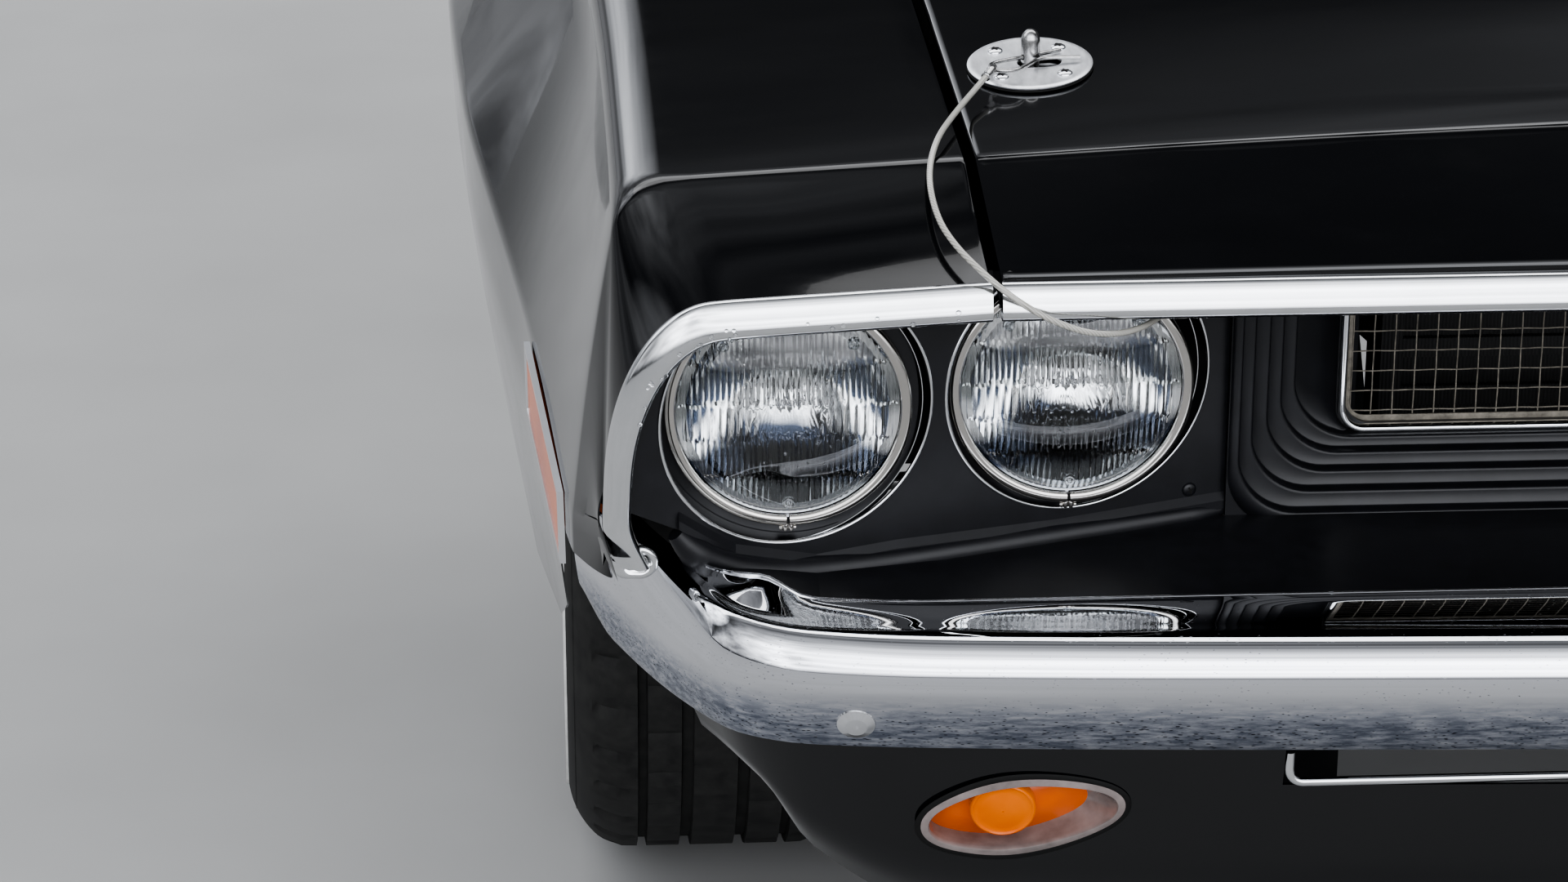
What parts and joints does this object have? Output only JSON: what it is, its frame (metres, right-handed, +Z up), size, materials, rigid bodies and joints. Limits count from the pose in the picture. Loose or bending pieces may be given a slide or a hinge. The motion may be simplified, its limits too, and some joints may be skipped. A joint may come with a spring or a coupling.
{
  "type": "muscle car front end",
  "caption": "Front end of a classic two-door muscle car with steered wheels, round headlamps in a black nose, chrome bumper and an opening hood held by hood pins.",
  "frame": {"origin": "middle of the firewall's rear face, 600 mm above the road the wheels stand on and 640 mm behind the front axle", "axes": "+Z up, -Y towards the front bumper, +X to the car's left"},
  "size_m": [1.926, 1.5921, 0.95],
  "materials": {
    "black_paint": "deep gloss",
    "satin_black": "satin",
    "chrome": "mirror bright",
    "bright_trim": "bright, lightly worn",
    "clear_glass": "fluted, clear",
    "reflector": "silvered",
    "amber_lens": "amber, moulded",
    "signal_rim": "grey rim in a black gasket",
    "mesh_metal": "dull tan-grey",
    "steel": "plated",
    "coated_cable": "clear coat over steel strand",
    "cast_iron": "rough cast",
    "radiator_metal": "black, finned",
    "engine_paint": "painted casting",
    "tyre": "matt rubber",
    "wheel_paint": "silver grey"
  },
  "bodies": {
    "root": {"firewall": "black_paint", "cowl_panel": "black_paint", "frame_rails": "satin_black", "inner_fenders": "satin_black", "radiator_support": "satin_black", "radiator": "radiator_metal", "engine_block": "engine_paint", "k_member": "satin_black", "fenders": "black_paint", "fender_mouldings": "bright_trim", "lamp_panels": "satin_black", "headlamp_buckets": "satin_black", "headlamp_rings": "chrome", "headlamp_lenses": "clear_glass", "headlamp_reflectors": "reflector", "grille_shroud": "satin_black", "grille_surround": "bright_trim", "grille_mesh": "mesh_metal", "bumper": "chrome", "bumper_bolts": "chrome", "bumper_brackets": "satin_black", "valance": "black_paint", "valance_trim": "bright_trim", "turn_signal_housings": "signal_rim", "turn_signal_lenses": "amber_lens", "front_filler": "satin_black", "side_marker_bezels": "chrome", "side_marker_lenses": "amber_lens", "hood_pins": "steel", "hood_pin_clips": "steel", "lanyard_left": "coated_cable", "lanyard_right": "coated_cable", "hood_hinge_brackets": "steel", "lower_arms": "cast_iron", "upper_arms": "cast_iron", "steering_box": "cast_iron", "idler_bracket": "cast_iron"},
    "hood": {"hood": "black_paint", "hood_moulding": "bright_trim", "hood_pin_plates": "chrome", "hood_hinge_straps": "steel"},
    "knuckle_left": {"knuckle_left": "cast_iron"},
    "knuckle_right": {"knuckle_right": "cast_iron"},
    "wheel_left": {"tyre_left": "tyre", "rim_left": "wheel_paint", "hub_left": "cast_iron"},
    "wheel_right": {"tyre_right": "tyre", "rim_right": "wheel_paint", "hub_right": "cast_iron"},
    "tie_rod_left": {"tie_rod_left": "steel"},
    "tie_rod_right": {"tie_rod_right": "steel"},
    "centre_link": {"centre_link": "steel"},
    "pitman_arm": {"pitman_arm": "cast_iron"},
    "idler_arm": {"idler_arm": "cast_iron"}
  },
  "joints": [
    {"name": "hood_hinge", "type": "hinge", "parent": "root", "child": "hood", "pos_m": [0, -0.033, 0.298], "axis": [-1, 0, 0], "range_deg": [0, 50]},
    {"name": "steer_left", "type": "hinge", "parent": "root", "child": "knuckle_left", "pos_m": [0.69, -0.64, -0.265], "axis": [0, 0, 1], "range_deg": [-30, 30]},
    {"name": "steer_right", "type": "hinge", "parent": "root", "child": "knuckle_right", "pos_m": [-0.69, -0.64, -0.265], "axis": [0, 0, 1], "range_deg": [-30, 30]},
    {"name": "wheel_left_spin", "type": "hinge", "parent": "knuckle_left", "child": "wheel_left", "pos_m": [0.758, -0.64, -0.265], "axis": [1, 0, 0], "continuous": true},
    {"name": "wheel_right_spin", "type": "hinge", "parent": "knuckle_right", "child": "wheel_right", "pos_m": [-0.758, -0.64, -0.265], "axis": [1, 0, 0], "continuous": true},
    {"name": "tie_rod_left_turn", "type": "hinge", "parent": "knuckle_left", "child": "tie_rod_left", "pos_m": [0.64, -0.49, -0.374], "axis": [0, 0, 1], "range_deg": [-36.5, 36.5]},
    {"name": "tie_rod_right_turn", "type": "hinge", "parent": "knuckle_right", "child": "tie_rod_right", "pos_m": [-0.64, -0.49, -0.374], "axis": [0, 0, 1], "range_deg": [-36.5, 36.5]},
    {"name": "link_slide", "type": "slide", "parent": "root", "child": "centre_link", "axis": [1, 0, 0], "range_m": [-0.0786, 0.0786]},
    {"name": "pitman_turn", "type": "hinge", "parent": "root", "child": "pitman_arm", "pos_m": [0.33, -0.34, -0.35], "axis": [0, 0, 1], "range_deg": [-30, 30]},
    {"name": "idler_turn", "type": "hinge", "parent": "root", "child": "idler_arm", "pos_m": [-0.33, -0.34, -0.35], "axis": [0, 0, 1], "range_deg": [-30, 30]}
  ],
  "couplings": [
    {"joint": "steer_right", "follows": "steer_left", "ratio": 1},
    {"joint": "tie_rod_left_turn", "follows": "steer_left", "ratio": -1.2},
    {"joint": "tie_rod_right_turn", "follows": "steer_left", "ratio": -1.2},
    {"joint": "link_slide", "follows": "steer_left", "m_per_rad": -0.15},
    {"joint": "pitman_turn", "follows": "steer_left", "ratio": -1},
    {"joint": "idler_turn", "follows": "steer_left", "ratio": -1}
  ]
}
